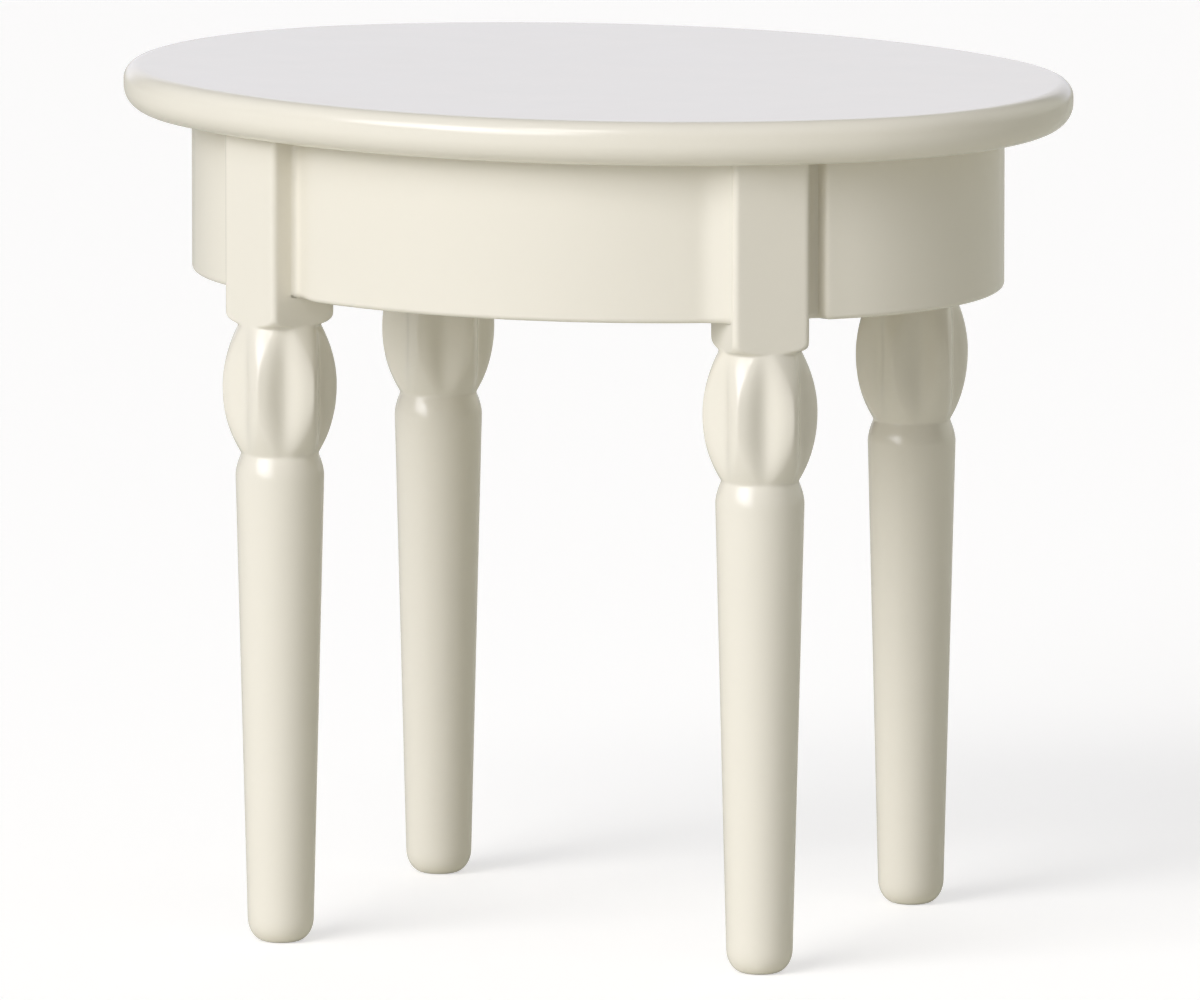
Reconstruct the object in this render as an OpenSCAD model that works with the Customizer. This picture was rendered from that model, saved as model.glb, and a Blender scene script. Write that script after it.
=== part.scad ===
// Miniature oval dining table for dolls and toy mice, in millimetres.
// Origin: on the floor under the middle of the top. +X runs along the oval, +Y to the back, +Z up.
// Four turned legs with squared heads stand at the corners of an oval frame of four curved rails.
// Wooden dowels join the rails to the leg heads, and tenons and dowels hold the top on.

/* [Table] */
// Height from the floor to the top surface
table_h = 90; // [88:1:96]

/* [Top] */
// Length of the oval top
top_len = 101.8; // [98:0.2:106]
// Width of the oval top
top_wid = 75.4; // [74:0.2:78]
// Radius of the top's two end arcs
top_end_r = 31.1; // [28:0.1:33]
// Thickness of the top board
top_t = 4.7; // [4.4:0.1:6]
// Radius of the rounded upper edge
top_upper_r = 1.6; // [0.8:0.1:1.8]
// Radius of the rounded lower edge
top_lower_r = 2.5; // [1:0.1:2.5]

/* [Frame] */
// Length over the outside of the rails
frame_len = 87.2; // [86:0.2:88]
// Width over the outside of the rails
frame_wid = 65.4; // [65:0.1:66]
// Radius over the outside of the front and back rails
frame_side_r = 52.2; // [51:0.2:54]
// Radius over the outside of the end rails
frame_end_r = 26.1; // [25.6:0.1:26.6]
// Height of the rails
rail_h = 16.9; // [15:0.1:18]
// Thickness of the rails
rail_t = 5.5; // [5:0.1:5.6]
// Size of the bevel on the upright corners at a rail's ends
rail_bevel = 0.4; // [0.2:0.1:1.2]
// Radius of the eased lower edge of a rail
rail_ease = 0.5; // [0.2:0.1:0.8]

/* [Legs] */
// Distance from the middle to a leg's axis, along the oval
leg_x = 26.7; // [26:0.1:27.5]
// Distance from the middle to a leg's axis, across the oval
leg_y = 22.7; // [22.4:0.1:23]
// Side of the squared head
head_side = 8.3; // [8:0.1:8.3]
// Turn of each leg from square-on to the frame: front left, front right, back left, back right
leg_turn = [3, 6, -3, 3]; // [-6:1:6]
// Turn of the flutes against the head, in the same order
flute_turn = [-2, -8, 0, 0]; // [-8:1:8]
// Radius of the round stock that a leg is turned from
stock_r = 6; // [5.9:0.05:6.2]
// Radius of the shaft above the rounded foot
foot_r = 3.46; // [3.2:0.02:3.8]
// Radius of the shaft at its shoulder
shoulder_r = 4.62; // [4.4:0.02:4.7]
// Radius of the neck between shaft and bulb
neck_r = 4; // [3.7:0.05:4.2]
// Radius of the crease between bulb and head
crease_r = 4.2; // [4.2:0.05:4.4]

/* [Flutes] */
// Number of flutes round the bulb
flutes = 6; // [4:1:6]
// Distance from the leg's axis to the bottom of a flute
flute_floor_r = 4.6; // [4.5:0.02:4.8]
// Half of the angle that a flute spans at the widest part of the bulb
flute_half_angle = 23; // [21:0.5:29]

/* [Joinery] */
// Diameter of the rail dowels
dowel_d = 2; // [1.6:0.1:2.2]
// Depth of a dowel hole in a leg head
dowel_leg_depth = 3.2; // [2.5:0.1:3.4]
// Depth of a dowel hole in the end of a rail
dowel_rail_depth = 4; // [3:0.5:4.5]
// Diameter of the tenon on top of a leg
tenon_d = 5; // [4:0.5:6]
// Length of the tenon
tenon_len = 3; // [2:0.1:3.2]
// Play all round and at the end of every glued pin and tenon
glue_gap = 0.05; // [0.03:0.01:0.1]

/* [Hidden] */
$fn = 96;

paint = "#efeadb";      // off-white enamel
bare_wood = "#d8b98a";  // unpainted dowel
arc_steps = 8;          // points in a quarter round of a drawn outline
curve_steps = 14;       // points in one side of the bulb
over = 1;               // how far a cutter runs past what it cuts

top_z = table_h - top_t;      // underside of the top
rail_z = top_z - rail_h;      // underside of the rails

// Heights on the leg, from the floor
foot_round_z = 2.5;                       // where the foot's rounding meets the shaft
foot_round_w = 1.9;                       // how far that rounding draws in
crease_z = rail_z - 3.15;                 // crease under the head
bulb_z = crease_z - 6.5;                  // widest part of the bulb
neck_z = bulb_z - 7.2;                    // neck under the bulb
shoulder_z = neck_z - 2.3;                // top of the straight shaft
head_round_z = 2.1;                       // height of the rounding under the head's corners
shoulder_power = 1.7;                     // 2 would be a parabola
bulb_low_power = 2.2;
bulb_high_power = 1.9;

// Dowels: heights of the pair across each joint, and the middle of each rail
dowel_hole_d = dowel_d + 2 * glue_gap;
dowel_levels = [rail_z + 0.28 * rail_h, rail_z + 0.66 * rail_h];
rail_mid_x = (frame_len - rail_t) / 2;
rail_mid_y = (frame_wid - rail_t) / 2;
top_dowel_places = [[0, -rail_mid_y], [0, rail_mid_y], [-rail_mid_x, 0], [rail_mid_x, 0]];

// A flute is a straight round cut: its cutter's radius follows from its floor and its width
flute_chord_x = stock_r * cos(flute_half_angle);
flute_chord_y = stock_r * sin(flute_half_angle);
flute_sag = flute_chord_x - flute_floor_r;
flute_cut_r = (flute_chord_y * flute_chord_y + flute_sag * flute_sag) / (2 * flute_sag);

function arc(cx, cy, r, from, to) =
    [for (i = [0:arc_steps]) let (a = from + (to - from) * i / arc_steps) [cx + r * cos(a), cy + r * sin(a)]];

// ---- Where the legs stand ----
// Each rail is one arc. A leg faces along the radius of the front or back rail's arc
frame_side_c = frame_side_r - frame_wid / 2;    // from the middle to a side arc's centre
frame_end_c = frame_len / 2 - frame_end_r;      // from the middle to an end arc's centre
leg_reach = norm([leg_x, leg_y + frame_side_c]);
leg_face = atan(leg_x / (leg_y + frame_side_c));
end_face = atan2(leg_y, leg_x - frame_end_c);

// From the leg's axis in to the middle of a rail, half way along a dowel in that rail
dowel_in = leg_reach
    - sqrt(pow(frame_side_r - rail_t / 2, 2) - pow((head_side + dowel_rail_depth) / 2, 2));

// Legs by index: 0 front left, 1 front right, 2 back left, 3 back right
function leg_at(i) = [i % 2 == 0 ? -leg_x : leg_x, i < 2 ? -leg_y : leg_y];
// The way the leg's outer face looks, turned from +X
function leg_angle(i) = sign(leg_at(i)[1]) * (90 - sign(leg_at(i)[0]) * leg_face) + leg_turn[i];
// A point of the plan, seen in the leg's own frame
function in_leg(i, p) =
    let (d = p - leg_at(i), a = leg_angle(i))
    [d[0] * cos(a) + d[1] * sin(a), d[1] * cos(a) - d[0] * sin(a)];

module at_leg(i)
    translate([leg_at(i)[0], leg_at(i)[1], 0])
        rotate([0, 0, leg_angle(i)])
            children();

// ---- Tabletop ----
// The oval has two side arcs and two end arcs, tangent where they meet
top_side_r = (top_len * top_len / 4 + top_wid * top_wid / 4 - top_len * top_end_r)
    / (top_wid - 2 * top_end_r);
top_side_c = top_side_r - top_wid / 2;
top_end_c = top_len / 2 - top_end_r;

// Section of the top from an arc's centre out to the rounded edge
function top_section(r) = concat(
    [[0, table_h], [0, top_z]],
    arc(r - top_lower_r, top_z + top_lower_r, top_lower_r, -90, 0),
    arc(r - top_upper_r, table_h - top_upper_r, top_upper_r, 0, 90));

// The part of a round top of radius r, centred at x, y, that lies inside an outline
module top_part(x, y, r, outline)
    intersection() {
        translate([x, y, 0]) rotate_extrude() polygon(top_section(r));
        translate([0, 0, top_z - over]) linear_extrude(height = top_t + 2 * over) polygon(outline);
    }

module top_board() {
    // Two arcs meet on the line through their centres, which is drawn well past the edge
    seam = 2 * [top_end_c, top_side_c];
    for (s = [1, -1]) {
        top_part(0, -s * top_side_c, top_side_r,
                 [[-top_end_c, 0], [top_end_c, 0], [top_end_c, 0] + [seam[0], s * seam[1]],
                  [-top_end_c, 0] + [-seam[0], s * seam[1]]]);
        top_part(s * top_end_c, 0, top_end_r,
                 [[s * top_end_c, 0], s * ([top_end_c, 0] + seam), s * ([top_end_c, 0] + [seam[0], -seam[1]])]);
    }
}

module tabletop()
    color(paint)
        difference() {
            top_board();
            for (i = [0:3]) at_leg(i)
                translate([0, 0, top_z - over])
                    cylinder(d = tenon_d + 2 * glue_gap, h = tenon_len + glue_gap + over);
            for (p = top_dowel_places) translate([p[0], p[1], top_z - over])
                cylinder(d = dowel_hole_d, h = tenon_len + glue_gap + over);
        }

// ---- Rails ----
function rail_section(r) = concat(
    [[r, top_z], [r - rail_t, top_z], [r - rail_t, rail_z]],
    arc(r - rail_ease, rail_z + rail_ease, rail_ease, -90, 0));

// The squared leg heads, drawn tall, that the rails are trimmed to
module head_cutters()
    for (i = [0:3]) at_leg(i)
        translate([-head_side / 2, -head_side / 2, rail_z - over])
            cube([head_side, head_side, rail_h + 2 * over]);

// Bevels the upright outer corner where a rail meets one side (s = 1 or -1) of leg i.
// The rail's arc has its centre at the plan point c and an outer radius of r
module corner_bevel(i, s, c, r) {
    m = in_leg(i, c);
    y = s * head_side / 2;
    x = m[0] + sqrt(r * r - pow(y - m[1], 2));
    start = [x - rail_bevel, y];
    at_leg(i)
        translate([0, 0, rail_z - over])
            linear_extrude(height = rail_h + 2 * over)
                polygon([start - over * [1, s], start + (2 * rail_bevel + over) * [1, s],
                         [x + rail_bevel + over, y - s * over]]);
}

// The pair of pins or holes across one side (s = 1 or -1) of a leg head, seen in the leg's own frame
module pin_pair(s, d, from, to)
    for (z = dowel_levels)
        translate([-dowel_in, s * from, z])
            rotate([-90 * s, 0, 0])
                cylinder(d = d, h = to - from);

// A rail round the arc of radius r about c, as far as half_angle to each side of its middle.
// Each of ends is a leg and the side of it that the rail meets
module rail(c, r, middle, half_angle, ends)
    color(paint)
        difference() {
            translate([c[0], c[1], 0])
                rotate([0, 0, middle - half_angle])
                    rotate_extrude(angle = 2 * half_angle)
                        polygon(rail_section(r));
            head_cutters();
            for (e = ends) {
                corner_bevel(e[0], e[1], c, r);
                at_leg(e[0]) pin_pair(e[1], dowel_hole_d, 0, head_side / 2 + dowel_rail_depth + glue_gap);
            }
            translate([c[0], c[1], top_z - dowel_rail_depth - glue_gap])
                rotate([0, 0, middle])
                    translate([r - rail_t / 2, 0, 0])
                        cylinder(d = dowel_hole_d, h = dowel_rail_depth + glue_gap + over);
        }

module front_rail()
    rail([0, frame_side_c], frame_side_r, -90, leg_face, [[0, 1], [1, -1]]);
module back_rail()
    rail([0, -frame_side_c], frame_side_r, 90, leg_face, [[2, -1], [3, 1]]);
module left_end_rail()
    rail([-frame_end_c, 0], frame_end_r, 180, end_face, [[0, -1], [2, 1]]);
module right_end_rail()
    rail([frame_end_c, 0], frame_end_r, 0, end_face, [[1, 1], [3, -1]]);

// ---- Legs ----
// Radius falling from r0 to r1 as s goes from 0 to 1, along a power curve
function falling(r0, r1, s, power) = r0 - (r0 - r1) * pow(s, power);

function turned_outline() = concat(
    [[0, 0]],
    [for (i = [0:arc_steps]) let (a = 90 * i / arc_steps)
        [foot_r - foot_round_w * (1 - sin(a)), foot_round_z * (1 - cos(a))]],
    [for (i = [0:arc_steps]) let (s = i / arc_steps)
        [falling(shoulder_r, neck_r, s, shoulder_power), shoulder_z + s * (neck_z - shoulder_z)]],
    [for (i = [1:curve_steps]) let (s = 1 - i / curve_steps)
        [falling(stock_r, neck_r, s, bulb_low_power), bulb_z - s * (bulb_z - neck_z)]],
    [for (i = [1:curve_steps]) let (s = i / curve_steps)
        [falling(stock_r, crease_r, s, bulb_high_power), bulb_z + s * (crease_z - bulb_z)]],
    [[0, crease_z]]);

function head_outline() = concat(
    [[0, crease_z]],
    [for (i = [0:arc_steps]) let (a = 90 * i / arc_steps)
        [crease_r + (stock_r - crease_r) * sin(a), crease_z + head_round_z * (1 - cos(a))]],
    [[stock_r, top_z], [0, top_z]]);

module flute_cutters(turn)
    for (k = [0:flutes - 1])
        rotate([0, 0, turn + k * 360 / flutes])
            translate([flute_floor_r + flute_cut_r, 0, neck_z])
                cylinder(r = flute_cut_r, h = crease_z - neck_z);

module leg(i)
    color(paint)
        at_leg(i)
            difference() {
                union() {
                    rotate_extrude() polygon(turned_outline());
                    intersection() {
                        rotate_extrude() polygon(head_outline());
                        translate([-head_side / 2, -head_side / 2, crease_z])
                            cube([head_side, head_side, top_z - crease_z]);
                    }
                    translate([0, 0, top_z - over]) cylinder(d = tenon_d, h = tenon_len + over);
                }
                flute_cutters(flute_turn[i]);
                for (s = [1, -1])
                    pin_pair(s, dowel_hole_d, head_side / 2 - dowel_leg_depth, head_side / 2 + over);
            }

module front_left_leg() leg(0);
module front_right_leg() leg(1);
module back_left_leg() leg(2);
module back_right_leg() leg(3);

// ---- Dowels ----
// Two dowels across each of the eight joints between a rail and a leg head
module rail_dowels()
    color(bare_wood)
        for (i = [0:3], s = [1, -1]) at_leg(i)
            pin_pair(s, dowel_d, head_side / 2 - dowel_leg_depth + glue_gap,
                     head_side / 2 + dowel_rail_depth);

module top_dowels()
    color(bare_wood)
        for (p = top_dowel_places)
            translate([p[0], p[1], top_z - dowel_rail_depth])
                cylinder(d = dowel_d, h = dowel_rail_depth + tenon_len);

tabletop();
front_rail();
back_rail();
left_end_rail();
right_end_rail();
front_left_leg();
front_right_leg();
back_left_leg();
back_right_leg();
rail_dowels();
top_dowels();
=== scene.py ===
# Looks of a miniature oval dining table: painted top, curved rails, turned and fluted legs, bare dowels.
# Shapes are worked out in millimetres and turned to metres when a mesh is made.
# Axes are the frame's: +X along the oval, +Y to the back, +Z up from the floor.
import math

import bmesh
import bpy
import numpy as np
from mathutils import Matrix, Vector


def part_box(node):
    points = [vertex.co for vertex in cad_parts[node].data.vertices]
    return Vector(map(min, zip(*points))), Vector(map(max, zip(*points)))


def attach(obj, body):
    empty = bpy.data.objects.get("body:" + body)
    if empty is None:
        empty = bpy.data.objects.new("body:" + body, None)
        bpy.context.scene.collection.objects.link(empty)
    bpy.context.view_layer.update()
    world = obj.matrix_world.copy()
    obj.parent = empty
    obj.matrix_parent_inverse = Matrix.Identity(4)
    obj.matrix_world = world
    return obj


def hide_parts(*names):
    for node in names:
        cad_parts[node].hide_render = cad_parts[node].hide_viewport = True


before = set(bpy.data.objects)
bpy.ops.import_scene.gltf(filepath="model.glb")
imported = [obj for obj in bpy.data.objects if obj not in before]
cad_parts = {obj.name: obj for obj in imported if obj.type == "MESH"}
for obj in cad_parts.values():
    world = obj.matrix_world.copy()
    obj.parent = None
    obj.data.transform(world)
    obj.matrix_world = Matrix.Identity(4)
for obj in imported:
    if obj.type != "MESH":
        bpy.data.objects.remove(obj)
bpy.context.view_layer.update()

MM = 0.001
TAU = 2 * math.pi


def box_mm(node):
    low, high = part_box(node)
    return np.array(low) / MM, np.array(high) / MM


# ---- Sizes that the frame gives ----
top_low, top_high = box_mm("tabletop")
TOP_HALF_LEN = (top_high[0] - top_low[0]) / 2
TOP_HALF_WID = (top_high[1] - top_low[1]) / 2
TABLE_H = top_high[2]
TOP_Z = top_low[2]
RAIL_Z = box_mm("front_rail")[0][2]
FRAME_HALF_LEN = box_mm("right_end_rail")[1][0]
FRAME_HALF_WID = box_mm("back_rail")[1][1]
TENON_Z = box_mm("front_left_leg")[1][2]

# ---- Sizes of the design, in millimetres and degrees ----
TOP_END_R = 31.1
TOP_UPPER_R = 1.6
TOP_LOWER_R = 2.5
SIDE_RAIL_R = 52.2
END_RAIL_R = 26.1
RAIL_T = 5.5
HEAD_HALF = 4.15
HEAD_ROUND_Z = 2.1
STOCK_R = 6.0
CREASE_R = 4.2
NECK_R = 4.0
SHOULDER_R = 4.62
FOOT_R = 3.46
FOOT_ROUND_Z = 2.5
FOOT_ROUND_W = 1.9
TENON_R = 2.5
TENON_BEVEL = 0.3

# Heights up a leg
CREASE_Z = RAIL_Z - 3.15
BULB_Z = CREASE_Z - 6.5
NECK_Z = BULB_Z - 7.2
SHOULDER_Z = NECK_Z - 2.3

# How fully each turned curve bulges: 2 is a parabola
SHOULDER_POWER = 1.7
LOW_BULB_POWER = 2.2
HIGH_BULB_POWER = 1.9

# Flutes: round cuts, and the wave that the paint makes of them
FLUTES = 6
FLUTE_FLOOR_R = 4.6
FLUTE_HALF_ANGLE = 26
FLUTE_WAVE_R = 6.25
FLUTE_CHORD = STOCK_R * math.sin(math.radians(FLUTE_HALF_ANGLE))
FLUTE_SAG = STOCK_R * math.cos(math.radians(FLUTE_HALF_ANGLE)) - FLUTE_FLOOR_R
FLUTE_CUT_R = (FLUTE_CHORD**2 + FLUTE_SAG**2) / (2 * FLUTE_SAG)

# How far the paint softens things
RAIL_EASE = 0.5         # a rail's lower edges
RAIL_END_EASE = 0.8     # the same at a rail's ends
RAIL_END_REACH = 4.0    # how far along a rail its ends' easing fades out
HEAD_SOFT = 1.0         # a head's upright corners
HEAD_UNDER_SOFT = 0.25  # a head's lower edges
RIDGE_SOFT = 0.9        # the ridges between flutes
PAINT_BLUR = 0.13       # turned creases

# Fineness of the meshes
TOP_HOLD = 0.08         # a narrow flat band beside a rounded edge keeps the light on the flat even
RAIL_HOLD = 0.06
OVAL_STEPS = 40         # along each arc of a quarter of the top
TOP_LOWER_STEPS = 14
TOP_UPPER_STEPS = 12
TOP_RINGS = (0.1, 0.3, 0.5, 0.7, 0.85, 0.95)
RAIL_STEPS = 90
RAIL_EASE_STEPS = 8
RAIL_FACE_POINTS = 3
LEG_COLUMNS = 288
FOOT_STEPS = 10
PLAIN_ROWS = 1.6        # spacing of the rows up a leg: on the plain shaft and head
SHOULDER_ROWS = 0.12
BULB_ROWS = 0.25
CREASE_ROWS = 0.08
CLOSE_REACH = 1         # how far close rows go on to either side of a bend
ROUND_REACH = 0.6       # and above the head's rounding
BLUR_STEP = 0.04
WELD_DIST = 0.0001      # points closer than this are one point
SHARP_ANGLE = 40        # edges that turn more than this stay crisp

# Each leg's own turn and the turn of its flutes against its head, as glued
LEGS = {
    "front_left_leg": (3, -2),
    "front_right_leg": (6, -11),
    "back_left_leg": (-3, 0),
    "back_right_leg": (3, 0),
}

# How far the rails' arcs have their centres from the middle of the table
SIDE_RAIL_C = SIDE_RAIL_R - FRAME_HALF_WID
END_RAIL_C = FRAME_HALF_LEN - END_RAIL_R

# Each rail: its arc's centre and radius, and the legs at its clockwise and its counter-clockwise end
RAILS = {
    "front_rail": ((0, SIDE_RAIL_C), SIDE_RAIL_R, "front_left_leg", "front_right_leg"),
    "right_end_rail": ((END_RAIL_C, 0), END_RAIL_R, "front_right_leg", "back_right_leg"),
    "back_rail": ((0, -SIDE_RAIL_C), SIDE_RAIL_R, "back_right_leg", "back_left_leg"),
    "left_end_rail": ((-END_RAIL_C, 0), END_RAIL_R, "back_left_leg", "front_left_leg"),
}

# Sections through the paint in the corners between rail and head: (distance from the head's side,
# height above the rail). Most corners have a hollow fillet. Three that are seen well differ from it
FILLET = ((0, 0.8), (0.06, 0.5), (0.22, 0.23), (0.5, 0.06), (0.8, 0), (1.1, 0))
CORNERS = {
    # The rail sinks a little beside the head
    ("front_rail", "front_left_leg"): (
        (0, -0.45), (0.06, -0.68), (0.2, -0.87), (0.42, -0.95), (0.8, -0.9), (1.5, -0.68), (2.4, -0.38),
        (3.3, -0.15), (4.2, -0.03), (5, 0)),
    # A slope of filler runs up to the head's corner
    ("front_rail", "front_right_leg"): (
        (0, 1.6), (0.12, 1.5), (0.5, 1.2), (1, 0.8), (1.5, 0.43), (2, 0.17), (2.5, 0.04), (3, 0), (3.4, 0)),
    # The paint has not closed this joint: a deep groove is left beside the head
    ("right_end_rail", "front_right_leg"): (
        (0, 0.4), (0.15, -0.15), (0.5, -0.55), (0.95, -0.9), (1.35, -1.1), (1.65, -1.1), (1.85, -0.85),
        (2, -0.5), (2.12, -0.2), (2.26, -0.02), (2.45, 0.06), (2.8, 0.06), (3.4, 0.03), (4.2, 0)),
}


# ---- Mesh helpers ----
def weld(mesh):
    """Joins points that lie in one place, which drops the faces without area between them."""
    joined = bmesh.new()
    joined.from_mesh(mesh)
    bmesh.ops.remove_doubles(joined, verts=joined.verts, dist=WELD_DIST * MM)
    joined.to_mesh(mesh)
    joined.free()


def make_piece(name, node, verts, faces, material):
    """A mesh in millimetres that stands for one node of the frame."""
    mesh = bpy.data.meshes.new(name)
    mesh.from_pydata((np.asarray(verts) * MM).tolist(), [], faces)
    weld(mesh)
    mesh.validate()
    mesh.polygons.foreach_set("use_smooth", [True] * len(mesh.polygons))
    mesh.set_sharp_from_angle(angle=math.radians(SHARP_ANGLE))
    mesh.materials.append(material)
    piece = bpy.data.objects.new(name, mesh)
    bpy.context.collection.objects.link(piece)
    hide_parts(node)
    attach(piece, "root")


def ring_faces(rings, count):
    """Quads between rings of count points each, ordered counter-clockwise and from the bottom up."""
    faces = []
    for k in range(rings - 1):
        low, high = k * count, (k + 1) * count
        for i in range(count):
            j = (i + 1) % count
            faces.append((low + i, low + j, high + j, high + i))
    return faces


def fan_faces(first, count, centre, upward):
    """Triangles from a ring to a centre point."""
    faces = []
    for i in range(count):
        a, b = first + i, first + (i + 1) % count
        faces.append((a, b, centre) if upward else (b, a, centre))
    return faces


def closed_faces(rings, count):
    """The faces of a stack of rings whose two centre points come last: the bottom's, then the top's."""
    total = rings * count
    faces = ring_faces(rings, count)
    faces += fan_faces(0, count, total, False)
    faces += fan_faces(total - count, count, total + 1, True)
    return faces


def strip_cap(first, outer_count, count, upward):
    """Closes a long bent outline by joining each outer point to the inner point across from it."""
    faces = []
    for i in range(outer_count - 1):
        across = [first + i, first + i + 1, first + (count - i - 1) % count, first + (count - i) % count]
        face = [v for k, v in enumerate(across) if v not in across[:k]]
        faces.append(face if upward else face[::-1])
    return faces


# ---- Tabletop ----
def oval_outline():
    """Points and outward normals round the top's oval of two side arcs and two end arcs."""
    half_len, half_wid, end_r = TOP_HALF_LEN, TOP_HALF_WID, TOP_END_R
    side_r = (half_len**2 + half_wid**2 - 2 * half_len * end_r) / (2 * (half_wid - end_r))
    side_c, end_c = side_r - half_wid, half_len - end_r
    hand_over = math.atan2(side_c, end_c)
    quarter = np.concatenate([np.linspace(0, hand_over, OVAL_STEPS + 1)[:-1],
                              np.linspace(hand_over, TAU / 4, OVAL_STEPS + 1)])
    angles = np.concatenate([quarter[:-1], (TAU / 2 - quarter[::-1])[:-1],
                             (TAU / 2 + quarter)[:-1], (TAU - quarter[::-1])[:-1]])
    normals = np.column_stack([np.cos(angles), np.sin(angles)])
    slack = 1e-9
    on_end = np.abs(normals[:, 1]) * end_c <= np.abs(normals[:, 0]) * side_c + slack
    centres = np.where(on_end[:, None], np.sign(normals) * [end_c, 0], np.sign(normals) * [0, -side_c])
    radii = np.where(on_end, end_r, side_r)
    return centres + radii[:, None] * normals, normals


def edge_arc(r, centre_z, start, end, steps):
    """Part of the edge's section as points (distance drawn in from the rim, height)."""
    a = np.linspace(start, end, steps + 1)
    return [(r - r * math.cos(angle), centre_z + r * math.sin(angle)) for angle in a]


def top_edge():
    """Section of the top's edge, from the underside to the upper face."""
    lower = edge_arc(TOP_LOWER_R, TOP_Z + TOP_LOWER_R, -TAU / 4, 0, TOP_LOWER_STEPS)
    upper = edge_arc(TOP_UPPER_R, TABLE_H - TOP_UPPER_R, 0, TAU / 4, TOP_UPPER_STEPS)
    return [(TOP_LOWER_R + TOP_HOLD, TOP_Z)] + lower + upper + [(TOP_UPPER_R + TOP_HOLD, TABLE_H)]


def tabletop(material):
    points, normals = oval_outline()
    rings = [np.column_stack([points - inset * normals, np.full(len(points), z)]) for inset, z in top_edge()]
    under = [rings[0] * [s, s, 1] for s in TOP_RINGS]
    over = [rings[-1] * [s, s, 1] for s in reversed(TOP_RINGS)]
    rings = under + rings + over
    verts = np.vstack(rings + [[[0, 0, TOP_Z]], [[0, 0, TABLE_H]]])
    make_piece("painted_top", "tabletop", verts, closed_faces(len(rings), len(points)), material)


# ---- Where a leg stands and faces ----
def leg_axis(leg):
    low, high = box_mm(leg)
    return ((low + high) / 2)[:2]


def leg_angle(leg):
    """The way the leg's outer face looks, in radians from +X."""
    x, y = leg_axis(leg)
    square_on = math.atan2(y + math.copysign(SIDE_RAIL_C, y), x)
    return square_on + math.radians(LEGS[leg][0])


def turned(points, angle):
    """Points in plan, turned counter-clockwise."""
    c, s = math.cos(angle), math.sin(angle)
    return np.asarray(points) @ np.array([[c, s], [-s, c]])


def to_world(points, leg):
    return turned(points, leg_angle(leg)) + leg_axis(leg)


def to_leg(points, leg):
    return turned(np.asarray(points, float) - leg_axis(leg), -leg_angle(leg))


# ---- Rails ----
def rail_corner(name, leg, side):
    """Points and normals of the painted corner between a rail's outer face and a head, in the leg's axes."""
    centre, r = RAILS[name][:2]
    cx, cy = to_leg(centre, leg)
    away, rise = np.array(CORNERS.get((name, leg), FILLET)).T
    y = side * HEAD_HALF + side * away
    points = np.column_stack([cx + np.sqrt(r**2 - (y - cy)**2) + rise, y])
    along = np.gradient(points, axis=0)
    normals = side * np.column_stack([along[:, 1], -along[:, 0]])
    return points, normals / np.linalg.norm(normals, axis=1)[:, None]


def rail_end(name, leg, side):
    """One end of a rail against a leg head: for the outer and the inner half, the points and normals from
    the middle of the end face outwards, and the angle about the arc's centre where the arc takes over.
    A point whose normal is zero stays on the head's side."""
    centre, r = RAILS[name][:2]
    cx, cy = to_leg(centre, leg)
    face_y = side * HEAD_HALF
    inner_x = cx + math.sqrt((r - RAIL_T)**2 - (face_y - cy)**2)
    corner, corner_normals = rail_corner(name, leg, side)
    middle = (corner[0, 0] + inner_x) / 2
    face_x = np.linspace(middle, corner[0, 0], RAIL_FACE_POINTS + 1)[:-1]
    outer = np.vstack([np.column_stack([face_x, np.full(RAIL_FACE_POINTS, face_y)]), corner])
    outer_normals = np.vstack([np.zeros((RAIL_FACE_POINTS, 2)), corner_normals])
    inner = np.column_stack([np.linspace(middle, inner_x, len(outer)), np.full(len(outer), face_y)])
    inner_normals = np.zeros_like(inner)
    inner_normals[-1] = ([cx, cy] - inner[-1]) / (r - RAIL_T)
    halves = []
    for points, normals in ((outer, outer_normals), (inner, inner_normals)):
        points, normals = to_world(points, leg), turned(normals, leg_angle(leg))
        spoke = points[-1] - centre
        halves.append((points, normals, math.atan2(spoke[1], spoke[0])))
    return halves


def rail_side(start, end, centre, r, sign):
    """One long side of a rail, outer (sign 1) or inner (sign -1), from end face to end face."""
    a0, a1 = start[2], end[2]
    if a1 < a0:
        a1 += TAU
    angles = np.linspace(a0, a1, RAIL_STEPS + 1)[1:-1]
    radial = np.column_stack([np.cos(angles), np.sin(angles)])
    points = np.vstack([start[0], np.asarray(centre) + r * radial, end[0][::-1]])
    normals = np.vstack([start[1], sign * radial, end[1][::-1]])
    return points, normals


def rail_ease(points, centre, r, legs):
    """How much each point's lower edge is eased: more on the outer face beside a leg head."""
    outward = np.clip(1 - (r - np.linalg.norm(points - centre, axis=1)) / RAIL_T, 0, 1)
    gap = np.min([np.abs(to_leg(points, leg)[:, 1]) - HEAD_HALF for leg in legs], axis=0)
    near = np.clip(1 - gap / RAIL_END_REACH, 0, 1)
    return RAIL_EASE + (RAIL_END_EASE - RAIL_EASE) * outward * near**2 * (3 - 2 * near)


def rail_section(ease):
    """Steps of a rail's side, from the bottom up: how far it is drawn in, and how high above the bottom."""
    quarter = np.linspace(0, TAU / 4, RAIL_EASE_STEPS + 1)
    arc = [(ease * (1 - math.sin(a)), ease * (1 - math.cos(a))) for a in quarter]
    height = TOP_Z - RAIL_Z
    return [(ease + RAIL_HOLD, 0)] + arc + [(0, ease + RAIL_HOLD), (0, height / 2), (0, height)]


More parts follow.
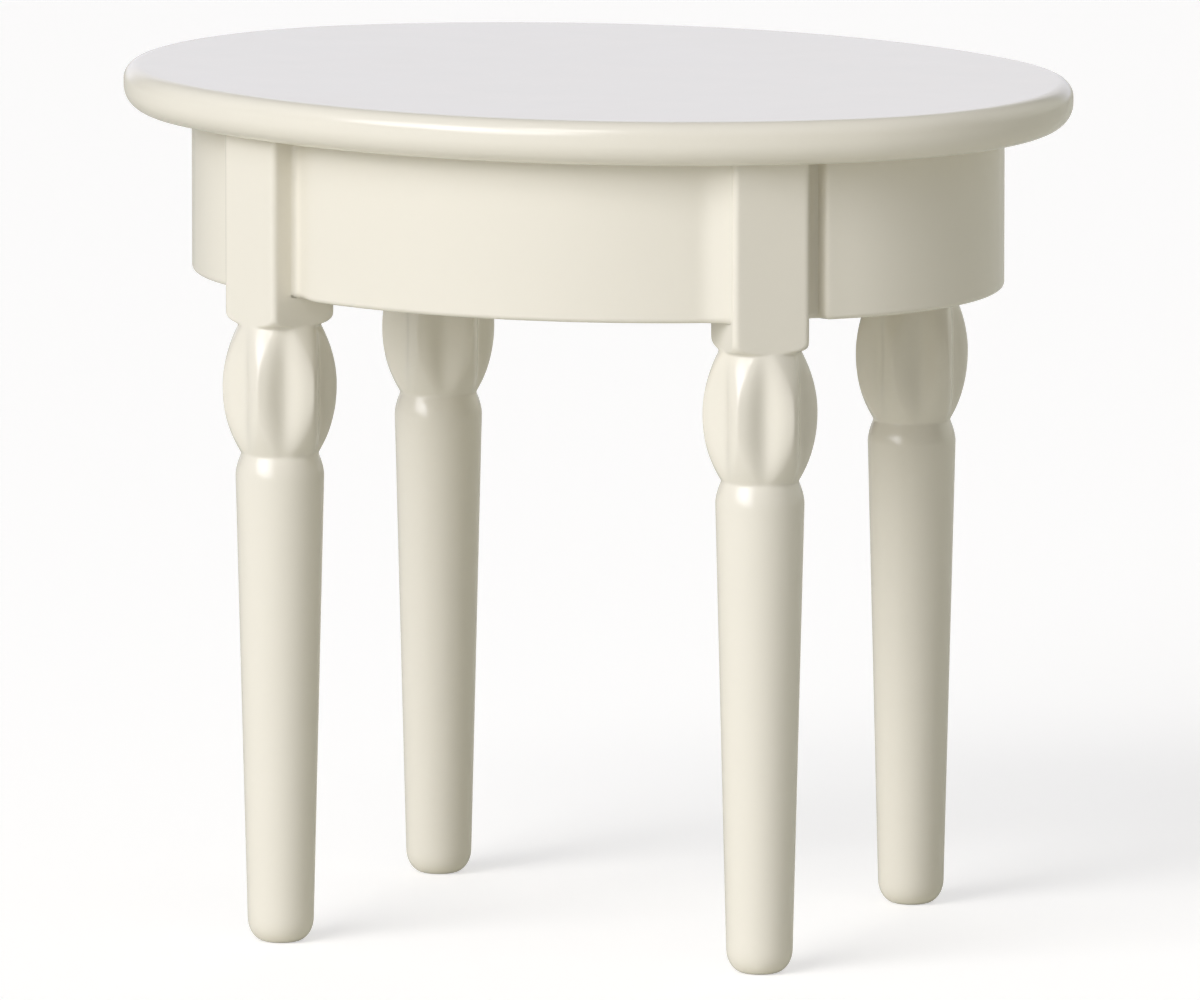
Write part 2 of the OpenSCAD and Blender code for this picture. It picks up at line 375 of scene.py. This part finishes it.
def rail_ring(points, normals, inset, rise, legs):
    """A ring of a rail, drawn in by inset and raised by rise, and kept out of the two leg heads."""
    xy = points - np.broadcast_to(inset, len(points))[:, None] * normals
    for leg, side in zip(legs, (1, -1)):
        local = to_leg(xy, leg)
        local[:, 1] = side * np.maximum(side * local[:, 1], HEAD_HALF)
        xy = to_world(local, leg)
    return np.column_stack([xy, np.broadcast_to(RAIL_Z + rise, len(points))])


def rail(name, material):
    centre, r, *legs = RAILS[name]
    start = rail_end(name, legs[0], 1)
    end = rail_end(name, legs[1], -1)
    outer, outer_normals = rail_side(start[0], end[0], centre, r, 1)
    inner, inner_normals = rail_side(start[1], end[1], centre, r - RAIL_T, -1)
    points = np.vstack([outer, inner[-2:0:-1]])
    normals = np.vstack([outer_normals, inner_normals[-2:0:-1]])
    section = rail_section(rail_ease(points, centre, r, legs))
    rings = [rail_ring(points, normals, inset, rise, legs) for inset, rise in section]
    faces = ring_faces(len(rings), len(points))
    faces += strip_cap(0, len(outer), len(points), False)
    faces += strip_cap((len(rings) - 1) * len(points), len(outer), len(points), True)
    make_piece("painted_" + name, name, np.vstack(rings), faces, material)


# ---- Legs ----
def falling(r0, r1, s, power):
    """From r0 at s = 0 down to r1 at s = 1, slowly at first."""
    return r0 - (r0 - r1) * np.clip(s, 0, 1)**power


def turned_radius(z):
    """Radius of the turned leg below its squared head."""
    foot = FOOT_R - FOOT_ROUND_W * (1 - np.sqrt(1 - np.clip(1 - z / FOOT_ROUND_Z, 0, 1)**2))
    shaft = FOOT_R + (SHOULDER_R - FOOT_R) * (z - FOOT_ROUND_Z) / (SHOULDER_Z - FOOT_ROUND_Z)
    shoulder = falling(SHOULDER_R, NECK_R, (z - SHOULDER_Z) / (NECK_Z - SHOULDER_Z), SHOULDER_POWER)
    low_bulb = falling(STOCK_R, NECK_R, (BULB_Z - z) / (BULB_Z - NECK_Z), LOW_BULB_POWER)
    high_bulb = falling(STOCK_R, CREASE_R, (z - BULB_Z) / (CREASE_Z - BULB_Z), HIGH_BULB_POWER)
    return np.select([z < FOOT_ROUND_Z, z < SHOULDER_Z, z < NECK_Z, z < BULB_Z],
                     [foot, shaft, shoulder, low_bulb], high_bulb)


def soft_min(a, b, soft):
    """The smaller of two radii, rounded over where they meet."""
    h = np.clip(0.5 + 0.5 * (b - a) / soft, 0, 1)
    return b + (a - b) * h - soft * h * (1 - h)


def flute_radius(theta):
    """Radius of the flutes: half way between round cuts and a soft wave, as thick paint leaves them."""
    pitch = TAU / FLUTES
    across = (theta + pitch / 2) % pitch - pitch / 2
    reach = FLUTE_FLOOR_R + FLUTE_CUT_R
    inside = np.maximum(FLUTE_CUT_R**2 - (reach * np.sin(across))**2, 0)
    cut = reach * np.cos(across) - np.sqrt(inside)
    wave = FLUTE_FLOOR_R + (FLUTE_WAVE_R - FLUTE_FLOOR_R) * (1 - np.cos(FLUTES * across)) / 2
    return (cut + wave) / 2


def head_radius(theta, z):
    """Radius of the squared head, rounded in under its corners."""
    never_zero = 1e-6
    across = np.maximum(np.abs(np.cos(theta)), never_zero)
    along = np.maximum(np.abs(np.sin(theta)), never_zero)
    square = soft_min(HEAD_HALF / across, HEAD_HALF / along, HEAD_SOFT)
    below = np.clip(1 - (z - CREASE_Z) / HEAD_ROUND_Z, 0, 1)
    under = CREASE_R + (STOCK_R - CREASE_R) * np.sqrt(1 - below**2)
    return soft_min(square, under, HEAD_UNDER_SOFT)


def blurred(values, step, sigma):
    """Evens out rows of values that are step apart."""
    reach = int(4 * sigma / step)
    weights = np.exp(-0.5 * (np.arange(-reach, reach + 1) * step / sigma)**2)
    padded = np.pad(values, ((reach, reach), (0, 0)), mode="edge")
    total = sum(w * padded[k:k + len(values)] for k, w in enumerate(weights))
    return total / weights.sum()


def painted_radii(theta, heights, flute_turn):
    """Radii at some heights above the foot's rounding, worked out on close rows and softened by the paint."""
    z = np.arange(FOOT_ROUND_Z, TOP_Z + BLUR_STEP, BLUR_STEP)[:, None]
    plain = turned_radius(z)
    fluted = soft_min(plain, flute_radius(theta - flute_turn), RIDGE_SOFT)
    body = np.where(z > NECK_Z, fluted, plain)
    rows = blurred(np.where(z < CREASE_Z, body, head_radius(theta, z)), BLUR_STEP, PAINT_BLUR)
    before_last = len(rows) - 1.001
    at = np.clip((heights - FOOT_ROUND_Z) / BLUR_STEP, 0, before_last)
    k = at.astype(int)
    part = (at - k)[:, None]
    return rows[k] * (1 - part) + rows[k + 1] * part


def leg_rows():
    """Heights of the rows of points above the foot's rounding, close together where the shape turns fast."""
    spans = ((SHOULDER_Z - CLOSE_REACH, PLAIN_ROWS), (NECK_Z + CLOSE_REACH, SHOULDER_ROWS),
             (CREASE_Z - CLOSE_REACH, BULB_ROWS), (CREASE_Z + HEAD_ROUND_Z + ROUND_REACH, CREASE_ROWS),
             (TOP_Z, PLAIN_ROWS))
    low = FOOT_ROUND_Z
    rows = []
    for high, step in spans:
        rows.append(np.linspace(low, high, max(2, round((high - low) / step)) + 1)[1:])
        low = high
    return np.concatenate(rows)


def leg(name, material):
    theta = np.arange(LEG_COLUMNS) * TAU / LEG_COLUMNS
    foot = FOOT_ROUND_Z * (1 - np.cos(np.linspace(0, TAU / 4, FOOT_STEPS + 1)))
    upper = leg_rows()
    tenon = np.array([(TENON_R, TOP_Z), (TENON_R, TENON_Z - TENON_BEVEL), (TENON_R - TENON_BEVEL, TENON_Z)])
    radii = np.vstack([np.outer(turned_radius(foot), np.ones(LEG_COLUMNS)),
                       painted_radii(theta, upper, math.radians(LEGS[name][1])),
                       np.outer(tenon[:, 0], np.ones(LEG_COLUMNS))])
    heights = np.concatenate([foot, upper, tenon[:, 1]])
    spin = theta + leg_angle(name)
    x, y = leg_axis(name)
    verts = np.stack([x + radii * np.cos(spin), y + radii * np.sin(spin),
                      np.broadcast_to(heights[:, None], radii.shape)], axis=-1).reshape(-1, 3)
    verts = np.vstack([verts, [x, y, 0], [x, y, TENON_Z]])
    make_piece("painted_" + name, name, verts, closed_faces(len(heights), LEG_COLUMNS), material)


# ---- Materials ----
def new_material(name):
    """A node material, its Principled shader and a helper that adds linked nodes."""
    material = bpy.data.materials.new(name)
    material.use_nodes = True
    tree = material.node_tree
    shader = next(n for n in tree.nodes if n.type == "BSDF_PRINCIPLED")

    def add(kind, inputs=None, **settings):
        node = tree.nodes.new(kind)
        for key, value in settings.items():
            setattr(node, key, value)
        for key, value in (inputs or {}).items():
            if isinstance(value, bpy.types.NodeSocket):
                tree.links.new(value, node.inputs[key])
            else:
                node.inputs[key].default_value = value
        return node

    return material, tree, shader, add


def vary(tree, shader, add, colour, roughness, bump):
    """Drives the shader from noises. Colour: noise, two tones. Roughness: noise, least, most. Bump: noise,
    strength, depth in metres."""
    tint = add("ShaderNodeMix", {"Factor": colour[0], "A": colour[1], "B": colour[2]}, data_type="RGBA")
    tree.links.new(tint.outputs["Result"], shader.inputs["Base Color"])
    rough = add("ShaderNodeMapRange", {"Value": roughness[0], "To Min": roughness[1], "To Max": roughness[2]})
    tree.links.new(rough.outputs["Result"], shader.inputs["Roughness"])
    relief = add("ShaderNodeBump", {"Height": bump[0], "Strength": bump[1], "Distance": bump[2]})
    tree.links.new(relief.outputs["Normal"], shader.inputs["Normal"])


def paint_material():
    """Off-white enamel: faint colour drift, semi-gloss with uneven sheen, fine orange peel."""
    material, tree, shader, add = new_material("off_white_paint")
    place = add("ShaderNodeTexCoord").outputs["Object"]

    def noise(scale, detail):
        return add("ShaderNodeTexNoise", {"Vector": place, "Scale": scale, "Detail": detail}).outputs["Fac"]

    vary(tree, shader, add, colour=(noise(45.0, 3.0), (0.795, 0.76, 0.66, 1), (0.805, 0.77, 0.675, 1)),
         roughness=(noise(120.0, 2.0), 0.13, 0.19), bump=(noise(900.0, 2.0), 0.12, 0.00002))
    shader.inputs["IOR"].default_value = 1.5
    return material


def dowel_material():
    """Bare beech: pale grain with darker flecks."""
    material, tree, shader, add = new_material("bare_beech")
    place = add("ShaderNodeTexCoord").outputs["Object"]
    stretched = add("ShaderNodeMapping", {"Vector": place, "Scale": (1.0, 1.0, 0.15)}).outputs["Vector"]
    grain = add("ShaderNodeTexNoise", {"Vector": stretched, "Scale": 1800.0, "Detail": 6.0}).outputs["Fac"]
    vary(tree, shader, add, colour=(grain, (0.62, 0.42, 0.24, 1), (0.78, 0.58, 0.36, 1)),
         roughness=(grain, 0.55, 0.8), bump=(grain, 0.4, 0.00005))
    return material


# ---- Studio, in metres and degrees. Azimuths of lights count from the camera ----
CAMERA_AZIMUTH = 20.94
CAMERA_ELEVATION = 8.89
CAMERA_PLACE = (0.9015, -2.35504, 0.43915)
CAMERA_LENS = 731.6
CAMERA_REACH = 100      # how far it sees
SENSOR_WIDTH = 36

FLOOR_HALF = 12.0
FLOOR_COLOUR = (0.7, 0.69, 0.64)
FLOOR_LIGHT = (0.07, 0.07, 0.05)    # the floor's own light on the table
FLOOR_SEEN = (0.5, 0.5, 0.53)       # and as the camera sees it

# Softboxes: azimuth, elevation, side, power
SOFTBOXES = {
    "key": (-26, 46, 0.24, 0.78),
    "glint": (-27, 28, 0.07, 0.06),
}
SOFTBOX_DISTANCE = 1.0
SOFTBOX_COLOUR = (1.0, 0.99, 0.97)
LIT_POINT = Vector((0, 0, 0.05))

# Parts of the surroundings: azimuth, elevation, the cosines of the angle off that direction where the
# light starts and where it is full, and its colour
SKY_LIGHTS = (
    (-35, 15, 0.95, 0.985, (4.15, 4.15, 4.35)),
    (-35, 35, 0.95, 0.985, (2.25, 2.25, 2.38)),
    (-55, 25, 0.95, 0.985, (5.4, 5.4, 5.65)),
    (120, 10, 0.8, 0.95, (1.02, 1.02, 0.92)),
    (0, 0, 0, 1, (0.23, 0.22, 0.21)),
    (0, 90, 0.3, 1, (0.42, 0.42, 0.4)),
    (180, 0, 0.82, 0.93, (1.035, 1.035, 1.15)),
)


def direction(azimuth, elevation):
    """Unit vector from the object towards a viewer or light, with the azimuth counted from the front."""
    a, e = math.radians(azimuth), math.radians(elevation)
    return Vector((math.sin(a) * math.cos(e), -math.cos(a) * math.cos(e), math.sin(e)))


def stand(thing, place, way):
    """Puts a camera or lamp in its place, looking against the given direction."""
    thing.location = place
    thing.rotation_euler = (-way).to_track_quat("-Z", "Y").to_euler()
    bpy.context.collection.objects.link(thing)


def camera():
    data = bpy.data.cameras.new("camera")
    data.sensor_width = SENSOR_WIDTH
    data.lens = CAMERA_LENS
    data.clip_end = CAMERA_REACH
    cam = bpy.data.objects.new("camera", data)
    stand(cam, CAMERA_PLACE, direction(CAMERA_AZIMUTH, CAMERA_ELEVATION))
    bpy.context.scene.camera = cam


def softbox(name):
    azimuth, elevation, side, power = SOFTBOXES[name]
    data = bpy.data.lights.new(name, "AREA")
    data.shape = "SQUARE"
    data.size = side
    data.energy = power
    data.color = SOFTBOX_COLOUR
    lamp = bpy.data.objects.new(name, data)
    way = direction(CAMERA_AZIMUTH + azimuth, elevation)
    stand(lamp, LIT_POINT + SOFTBOX_DISTANCE * way, way)


def floor():
    """A wide pale floor. It looks near white to the camera and lights the table a little less than that."""
    far = FLOOR_HALF
    mesh = bpy.data.meshes.new("floor")
    corners = [(-far, -far, 0), (far, -far, 0), (far, far, 0), (-far, far, 0)]
    mesh.from_pydata(corners, [], [(0, 1, 2, 3)])
    material, tree, shader, add = new_material("pale_floor")
    shader.inputs["Base Color"].default_value = (*FLOOR_COLOUR, 1)
    shader.inputs["Roughness"].default_value = 0.9
    shader.inputs["Specular IOR Level"].default_value = 0.1
    seen = add("ShaderNodeLightPath").outputs["Is Camera Ray"]
    glow = add("ShaderNodeMix", {"Factor": seen, "A": (*FLOOR_LIGHT, 1), "B": (*FLOOR_SEEN, 1)},
               data_type="RGBA")
    tree.links.new(glow.outputs["Result"], shader.inputs["Emission Color"])
    shader.inputs["Emission Strength"].default_value = 1
    mesh.materials.append(material)
    ground = bpy.data.objects.new("floor", mesh)
    bpy.context.collection.objects.link(ground)


def sky():
    """Pale surroundings made of a few broad lights."""
    world = bpy.data.worlds.new("studio")
    bpy.context.scene.world = world
    world.use_nodes = True
    tree = world.node_tree
    place = tree.nodes.new("ShaderNodeTexCoord").outputs["Generated"]
    total = tree.nodes.new("ShaderNodeCombineXYZ").outputs["Vector"]
    for azimuth, elevation, start, full, colour in SKY_LIGHTS:
        dot = tree.nodes.new("ShaderNodeVectorMath")
        dot.operation = "DOT_PRODUCT"
        tree.links.new(place, dot.inputs[0])
        dot.inputs[1].default_value = direction(CAMERA_AZIMUTH + azimuth, elevation)
        ramp = tree.nodes.new("ShaderNodeMapRange")
        tree.links.new(dot.outputs["Value"], ramp.inputs["Value"])
        ramp.inputs["From Min"].default_value = start
        ramp.inputs["From Max"].default_value = full
        more = tree.nodes.new("ShaderNodeVectorMath")
        more.operation = "MULTIPLY_ADD"
        tree.links.new(ramp.outputs["Result"], more.inputs[0])
        more.inputs[1].default_value = colour
        tree.links.new(total, more.inputs[2])
        total = more.outputs["Vector"]
    background = next(n for n in tree.nodes if n.type == "BACKGROUND")
    tree.links.new(total, background.inputs["Color"])


# ---- The whole scene ----
def table():
    paint = paint_material()
    tabletop(paint)
    for name in RAILS:
        rail(name, paint)
    for name in LEGS:
        leg(name, paint)
    beech = dowel_material()
    for node in ("rail_dowels", "top_dowels"):
        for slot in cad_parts[node].material_slots:
            slot.material = beech


def studio():
    floor()
    sky()
    for name in SOFTBOXES:
        softbox(name)
    camera()
    bpy.context.scene.view_settings.view_transform = "Standard"


table()
studio()
